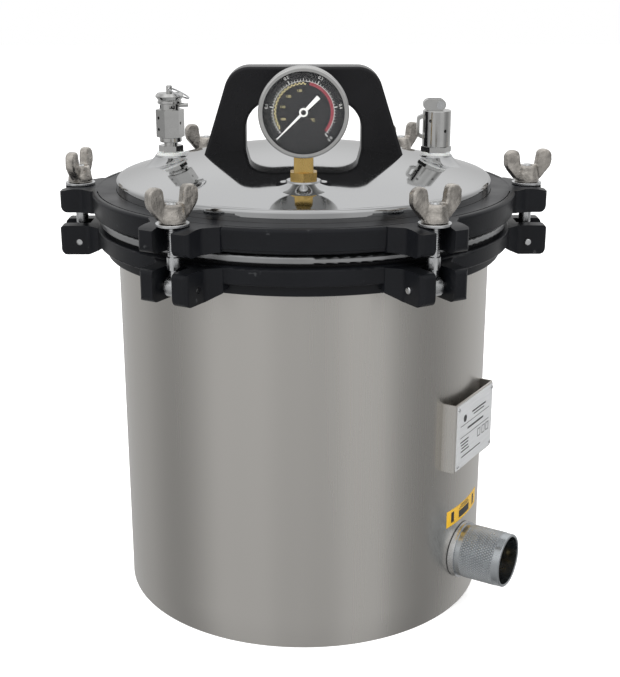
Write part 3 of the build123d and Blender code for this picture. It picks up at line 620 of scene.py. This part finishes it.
def wing_nuts():
    for index in CLAMPS:
        node = f"wing_nut_{index}"
        nut = cast_skin(NODES[node], f"nut_casting_{index}", 0.55, 1.0, index)
        nut.data.materials.clear()
        nut.data.materials.append(MATERIALS["cast_nickel"])
        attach(nut, node)
        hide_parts(node)


threads()
wing_nuts()


# ---- power inlet -------------------------------------------------------------
SIDE = math.radians(-31.5)
INLET_Z, INLET_R, INLET_BORE, MOUTH, ROOT = 48.0, 21.8, 19.3, 192.0, 153.6


def knurl_height(u, v):
    """Raised diamonds between two crossing sets of grooves; u and v count grooves."""
    first = abs(math.sin(math.pi * (u + v)))
    second = abs(math.sin(math.pi * (u - v)))
    return min(1.0, 2.2 * min(first, second))


def inlet_shroud():
    """A turned tube with a diamond-knurled middle and plain bands at each end."""
    place = Matrix.Rotation(SIDE, 4, "Z") @ Matrix.Translation((0, 0, INLET_Z * MM))
    segments, rows = 360, 150
    knurl_from, knurl_to = ROOT + 4.0, MOUTH - 6.0
    diamonds = 60
    pitch = math.tau * INLET_R / diamonds
    outline = [(ROOT, INLET_R - 0.3)]
    outline += [(ROOT + 0.3 + (MOUTH - ROOT - 1.2) * k / rows, INLET_R - 0.3) for k in range(rows + 1)]
    outline += [(MOUTH - 0.4, INLET_R - 0.5), (MOUTH, INLET_R - 1.0), (MOUTH, INLET_BORE + 0.5)]
    outline += [(MOUTH - 0.5, INLET_BORE), (ROOT + 8, INLET_BORE), (ROOT, INLET_BORE)]
    verts, faces = [], []
    count = len(outline)
    for step in range(segments):
        angle = math.tau * step / segments
        for x, r in outline:
            if knurl_from < x < knurl_to and r > INLET_BORE + 1:
                fade = min(1.0, (x - knurl_from) / 0.8, (knurl_to - x) / 0.8)
                r += fade * (0.85 * knurl_height(step / segments * diamonds, x / pitch / 1.6) - 0.6)
            verts.append(place @ Vector((x * MM, r * math.cos(angle) * MM, r * math.sin(angle) * MM)))
    for step in range(segments):
        a, b = step * count, (step + 1) % segments * count
        for k in range(count):
            n = (k + 1) % count
            faces.append((a + k, a + n, b + n, b + k))
    mesh = mesh_from("knurled_shroud", verts, faces, 40)
    add_object("knurled_shroud", mesh, "body", MATERIALS["knurled_metal"], ("inlet_shroud",))


inlet_shroud()


# ---- nameplate and strip -----------------------------------------------------
PLATE_FACE, PLATE_Z = 157.8, 156.7
STRIP_Z, STRIP_SHIFT = 82.6, 1.5


def on_plate(u, v, lift=0.0):
    """Places a drawing made in the XY plane on the nameplate: +X right, +Y up, +Z outwards."""
    face = Matrix(((0, 0, 1, 0), (1, 0, 0, 0), (0, 1, 0, 0), (0, 0, 0, 1)))
    shift = Matrix.Translation(((PLATE_FACE + lift) * MM, u * MM, (PLATE_Z + v) * MM))
    return Matrix.Rotation(SIDE, 4, "Z") @ shift @ face


def bar(width, height):
    """A rectangle's outline, centred on the origin."""
    x, y = width / 2, height / 2
    return [(-x, -y), (x, -y), (x, y), (-x, y)]


def nameplate_print():
    """Plain rules and bars where a rating plate carries its text."""
    marks = [(0, 8.2, 54, 0.45), (0, -1.4, 54, 0.45)]
    marks += [(7, 14.5, 26, 1.3), (7, 11.8, 20, 0.9), (1, 3.4, 30, 1.6)]
    marks += [(-19 + 0.5 * row % 2, -5.2 - 2.7 * row, 15 - 1.5 * (row % 3), 1.0) for row in range(4)]
    marks += [(-6, -18.0, 36, 0.9)]
    meshes = [plate_mesh("mark", bar(w, h), 0.06, on_plate(u, v)) for u, v, w, h in marks]
    for u in (8.5, 17.0, 24.5):
        frame_bars = ((0, 3.1, 5.4, 0.6), (0, -3.1, 5.4, 0.6), (-2.4, 0, 0.6, 5.6), (2.4, 0, 0.6, 5.6))
        for du, dv, w, h in frame_bars:
            meshes.append(plate_mesh("mark", bar(w, h), 0.06, on_plate(u + du, -7.4 + dv)))
    ring = [(2.9 * math.cos(t * math.tau / 32), 2.9 * math.sin(t * math.tau / 32)) for t in range(32)]
    meshes.append(plate_mesh("mark", ring, 0.06, on_plate(-19, 13.2)))
    mesh = joined("nameplate_print", meshes)
    add_object("nameplate_print", mesh, "body", INK_BLACK)


def curved_patch(name, azimuth, z, width, height, lift, material, tilt=0.0):
    """A thin patch that follows the barrel, centred on an azimuth in degrees."""
    cols = 24
    verts, faces = [], []
    for k in range(cols + 1):
        u = (k / cols - 0.5) * width
        angle = math.radians(azimuth) + u / BARREL_R
        for dz in (-height / 2, height / 2):
            for r in (BARREL_R + 0.01, BARREL_R + lift):
                verts.append((r * math.cos(angle) * MM, r * math.sin(angle) * MM, (z + dz + tilt * u) * MM))
    for k in range(cols):
        a = 4 * k
        for p, q in ((0, 1), (1, 3), (3, 2), (2, 0)):
            faces.append((a + p, a + q, a + 4 + q, a + 4 + p))
    faces += [(0, 2, 3, 1), (4 * cols, 4 * cols + 1, 4 * cols + 3, 4 * cols + 2)]
    return add_object(name, mesh_from(name, verts, faces), "body", material)


def strip():
    """A plain yellow strip above the inlet, with a dark panel and no lettering."""
    middle = math.degrees(SIDE) + STRIP_SHIFT
    patches = [("yellow", 0.0, STRIP_Z, 58.0, 14.0, 0.12, LABEL_YELLOW)]
    patches.append(("panel", 0.0, STRIP_Z - 1.6, 20.0, 6.4, 0.16, INK_BLACK))
    for k in range(3):
        patches.append((f"rule_{k + 1}", 0.0, STRIP_Z + 3.0 + 1.3 * k, 20.0 - 3 * k, 0.6, 0.16, INK_BLACK))
    patches.append(("mark_left", -7.8, STRIP_Z, 4.4, 9.0, 0.16, INK_BLACK))
    patches.append(("mark_right", 7.8, STRIP_Z, 4.4, 9.0, 0.16, INK_BLACK))
    for label, turn, z, width, height, lift, material in patches:
        curved_patch(f"strip_{label}", middle + turn, z, width, height, lift, material)


nameplate_print()
strip()


# ---- gauge -------------------------------------------------------------------
GAUGE_Z, DIAL_FACE = 406.0, -112.5


def on_dial(x=0.0, z=0.0, lift=0.0, spin=0.0):
    """Places a drawing made in the XY plane on the dial, spun clockwise by spin degrees."""
    face = Matrix(((1, 0, 0, 0), (0, 0, -1, 0), (0, 1, 0, 0), (0, 0, 0, 1)))
    centre = Matrix.Translation((0, (DIAL_FACE - lift) * MM, GAUGE_Z * MM))
    turn = Matrix.Rotation(-math.radians(spin), 4, "Z")
    return centre @ face @ turn @ Matrix.Translation((x * MM, z * MM, 0))


def sector(inner, outer, start, end, steps=40):
    """A band of a circle; angles in degrees clockwise from straight up."""
    points = []
    for radius, order in ((outer, range(steps + 1)), (inner, range(steps, -1, -1))):
        for k in order:
            a = math.radians(start + (end - start) * k / steps)
            points.append((radius * math.sin(a), radius * math.cos(a)))
    return points


def dial_text(figures, size, radius, angle, name, follow=True):
    """Figures on the dial as a mesh, at a radius and an angle clockwise from straight up."""
    data = bpy.data.curves.new(name, "FONT")
    data.body = figures
    data.size = size * MM
    data.align_x, data.align_y = "CENTER", "CENTER"
    data.extrude = 0.03 * MM
    helper = bpy.data.objects.new(name, data)
    bpy.context.scene.collection.objects.link(helper)
    graph = bpy.context.evaluated_depsgraph_get()
    graph.update()
    mesh = bpy.data.meshes.new_from_object(helper.evaluated_get(graph))
    bpy.data.objects.remove(helper)
    if follow:
        mesh.transform(on_dial(0, radius, 0.09, angle))
    else:
        turn = math.radians(angle)
        mesh.transform(on_dial(radius * math.sin(turn), radius * math.cos(turn), 0.09))
    return mesh


SCALE_START, SCALE_END = -135.0, 135.0
TRACK_START, TRACK_END = -125.0, 5.0
ARC_R, FIGURE_R = 21.7, 26.3


def dial_print():
    """A pressure scale, a chequered temperature track inside it and a red crescent."""
    white, yellow, red = [], [], []
    divisions, span = 50, SCALE_END - SCALE_START
    for k in range(divisions + 1):
        angle = SCALE_START + span * k / divisions
        long = k % 10 == 0
        length = 2.4 if long else (1.8 if k % 5 == 0 else 1.2)
        tick = bar(0.5 if long else 0.26, length)
        white.append(plate_mesh("tick", tick, 0.05, on_dial(0, ARC_R + length / 2, 0.05, angle)))
    arc_line = sector(ARC_R - 0.25, ARC_R, SCALE_START, SCALE_END, 90)
    white.append(plate_mesh("arc", arc_line, 0.05, on_dial(0, 0, 0.05)))
    for k in range(6):
        label = "0" if k == 0 else f"0.{k}"
        white.append(dial_text(label, 2.9, FIGURE_R, SCALE_START + span * k / 5, "figure"))
    cells = 34
    for k in range(cells):
        low, high = (19.2, 20.0) if k % 2 else (20.0, 20.8)
        start = TRACK_START + (TRACK_END - TRACK_START) * k / cells
        end = TRACK_START + (TRACK_END - TRACK_START) * (k + 1) / cells
        yellow.append(plate_mesh("cell", sector(low, high, start, end, 3), 0.05, on_dial(0, 0, 0.05)))
    for k, value in enumerate((100, 110, 120, 130)):
        angle = TRACK_START + (TRACK_END - TRACK_START) * (k + 0.5) / 4
        yellow.append(dial_text(str(value), 2.5, 15.2, angle, "figure", follow=False))
    yellow.append(dial_text("°C", 3.0, 8.5, 130, "unit", follow=False))
    red.append(plate_mesh("arc", sector(19.2, 21.3, 12, 130, 60), 0.05, on_dial(0, 0, 0.05)))
    for name, meshes, material in (
        ("dial_scale", white, INK_WHITE),
        ("dial_inner_scale", yellow, INK_YELLOW),
        ("dial_red_arc", red, INK_RED),
    ):
        add_object(name, joined(name, meshes), "lid", material)


def needle_screw():
    """The slotted screw that holds the needle on its spindle."""
    cap = [(0.01, 0.75), (1.3, 0.6), (1.75, 0.2), (1.8, -0.2), (0.01, -0.2)]
    mesh = lathe_mesh("needle_cap", cap, 48)
    place = Matrix.Translation((0, -114.6 * MM, GAUGE_Z * MM)) @ Matrix.Rotation(math.radians(90), 4, "X")
    mesh.transform(place)
    add_object("needle_cap", mesh, "gauge_needle", MATERIALS["black_plastic"])


dial_print()
needle_screw()


# ---- relief valve ring -------------------------------------------------------
def split_ring():
    """A split ring of almost two turns of fine wire, lying over to the right on the valve's stem."""
    data = bpy.data.curves.new("split_ring", "CURVE")
    data.dimensions = "3D"
    data.bevel_depth = 0.42 * MM
    data.bevel_resolution = 3
    line = data.splines.new("POLY")
    steps, turns, radius = 120, 1.92, 8.6
    line.points.add(steps)
    lean = Matrix.Rotation(math.radians(26), 4, "Y")
    centre = Vector((-VALVE_X * MM, 0, 410.4 * MM))
    for k in range(steps + 1):
        angle = math.tau * turns * k / steps + math.pi
        rise = 0.9 * (k / steps - 0.5)
        spot = Vector((radius * (1 + math.cos(angle)), radius * math.sin(angle), rise)) * MM
        line.points[k].co = (*(centre + lean @ spot), 1)
    data.materials.append(MATERIALS["zinc"])
    ring = bpy.data.objects.new("split_ring", data)
    bpy.context.scene.collection.objects.link(ring)
    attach(ring, "relief_ring")
    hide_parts("relief_ring")


split_ring()


# ---- studio ------------------------------------------------------------------
def surround(world):
    """White behind the object, and a soft studio in everything that reflects it."""
    tree = world.node_tree
    view = tree.nodes["Background"]
    view.inputs["Color"].default_value = (1, 1, 1, 1)
    view.inputs["Strength"].default_value = 1.0
    room = tree.nodes.new("ShaderNodeBackground")
    room.inputs["Strength"].default_value = ROOM_STRENGTH
    coords = tree.nodes.new("ShaderNodeTexCoord")
    split = tree.nodes.new("ShaderNodeSeparateXYZ")
    tree.links.new(coords.outputs["Generated"], split.inputs["Vector"])
    ramp = tree.nodes.new("ShaderNodeValToRGB")
    ramp.color_ramp.interpolation = "EASE"
    stops = ramp.color_ramp.elements
    for element, (place, tone) in zip(stops, ((0.0, 0.40), (1.0, 1.0))):
        element.position = place
        element.color = (tone, tone, tone, 1)
    for place, tone in ((0.5, 0.55), (0.74, 0.9)):
        stop = stops.new(place)
        stop.color = (tone, tone, tone, 1)
    height = tree.nodes.new("ShaderNodeMapRange")
    height.inputs["From Min"].default_value = -1.0
    tree.links.new(split.outputs["Z"], height.inputs["Value"])
    tree.links.new(height.outputs["Result"], ramp.inputs["Fac"])
    turn = tree.nodes.new("ShaderNodeMath")
    turn.operation = "ARCTAN2"
    tree.links.new(split.outputs["X"], turn.inputs[0])
    tree.links.new(split.outputs["Y"], turn.inputs[1])
    around = tree.nodes.new("ShaderNodeMapRange")
    around.inputs["From Min"].default_value = -math.pi
    around.inputs["From Max"].default_value = math.pi
    tree.links.new(turn.outputs["Value"], around.inputs["Value"])
    panels = tree.nodes.new("ShaderNodeValToRGB")
    panels.color_ramp.interpolation = "B_SPLINE"
    bands = panels.color_ramp.elements
    bands[0].position, bands[0].color = 0.0, (PANELS[0][1],) * 3 + (1,)
    bands[1].position, bands[1].color = 1.0, (PANELS[-1][1],) * 3 + (1,)
    for place, tone in PANELS[1:-1]:
        bands.new(place).color = (tone, tone, tone, 1)
    tree.links.new(around.outputs["Result"], panels.inputs["Fac"])
    both = tree.nodes.new("ShaderNodeMix")
    both.data_type = "RGBA"
    both.blend_type = "MULTIPLY"
    both.inputs[0].default_value = 1.0
    tree.links.new(ramp.outputs["Color"], both.inputs[6])
    tree.links.new(panels.outputs["Color"], both.inputs[7])
    tree.links.new(both.outputs[2], room.inputs["Color"])
    path = tree.nodes.new("ShaderNodeLightPath")
    choose = tree.nodes.new("ShaderNodeMixShader")
    tree.links.new(path.outputs["Is Camera Ray"], choose.inputs["Fac"])
    tree.links.new(room.outputs["Background"], choose.inputs[1])
    tree.links.new(view.outputs["Background"], choose.inputs[2])
    tree.links.new(choose.outputs["Shader"], tree.nodes["World Output"].inputs["Surface"])


ROOM_STRENGTH = 1.05
# The surround's tone by bearing: 0 and 1 are towards -Y, the front; 0.25 is -X and 0.75 is +X.
PANELS = (
    (0.0, 0.9), (0.05, 0.86), (0.11, 1.25), (0.17, 0.95), (0.24, 0.42), (0.32, 0.8), (0.5, 1.1),
    (0.66, 0.95), (0.76, 0.32), (0.84, 0.7), (0.89, 1.4), (0.94, 0.78), (1.0, 0.9),
)
LAMPS = (
    ("key_light", (-1.3, -1.5, 2.0), 1.2, 34),
    ("fill_light", (1.6, -1.0, 1.5), 0.9, 14),
    ("top_light", (0.1, 0.5, 2.3), 1.6, 26),
)


def studio():
    """A white floor and three large lamps, none of which shows in a reflection, and a soft surround."""
    scene = bpy.context.scene
    scene.view_settings.view_transform = "Standard"
    world = bpy.data.worlds.new("studio")
    scene.world = world
    world.use_nodes = True
    surround(world)
    floor_mesh = mesh_from("floor", [(-6, -6, 0), (6, -6, 0), (6, 6, 0), (-6, 6, 0)], [(0, 1, 2, 3)])
    floor_look = Shader(
        "floor_look", (0.9, 0.9, 0.9), 0.0, 0.7,
        Emission_Color=(1, 1, 1, 1), Emission_Strength=0.45,
    )
    floor = add_object("floor", floor_mesh, material=floor_look.material)
    floor.location = (0, 0, -0.0002)
    floor.visible_glossy = False
    for name, place, size, power in LAMPS:
        data = bpy.data.lights.new(name, "AREA")
        data.size = size
        data.energy = power
        light = bpy.data.objects.new(name, data)
        scene.collection.objects.link(light)
        light.visible_glossy = False
        light.location = place
        aim = Vector((0, 0, 0.2)) - Vector(place)
        light.rotation_euler = aim.to_track_quat("-Z", "Y").to_euler()


def camera():
    data = bpy.data.cameras.new("camera")
    data.sensor_width = 36
    data.lens = 65.08
    cam = bpy.data.objects.new("camera", data)
    bpy.context.scene.collection.objects.link(cam)
    cam.location = (0, -0.980, 0.5157)
    cam.rotation_euler = (math.radians(72.32), 0, math.radians(-0.3))
    bpy.context.scene.camera = cam


studio()
camera()
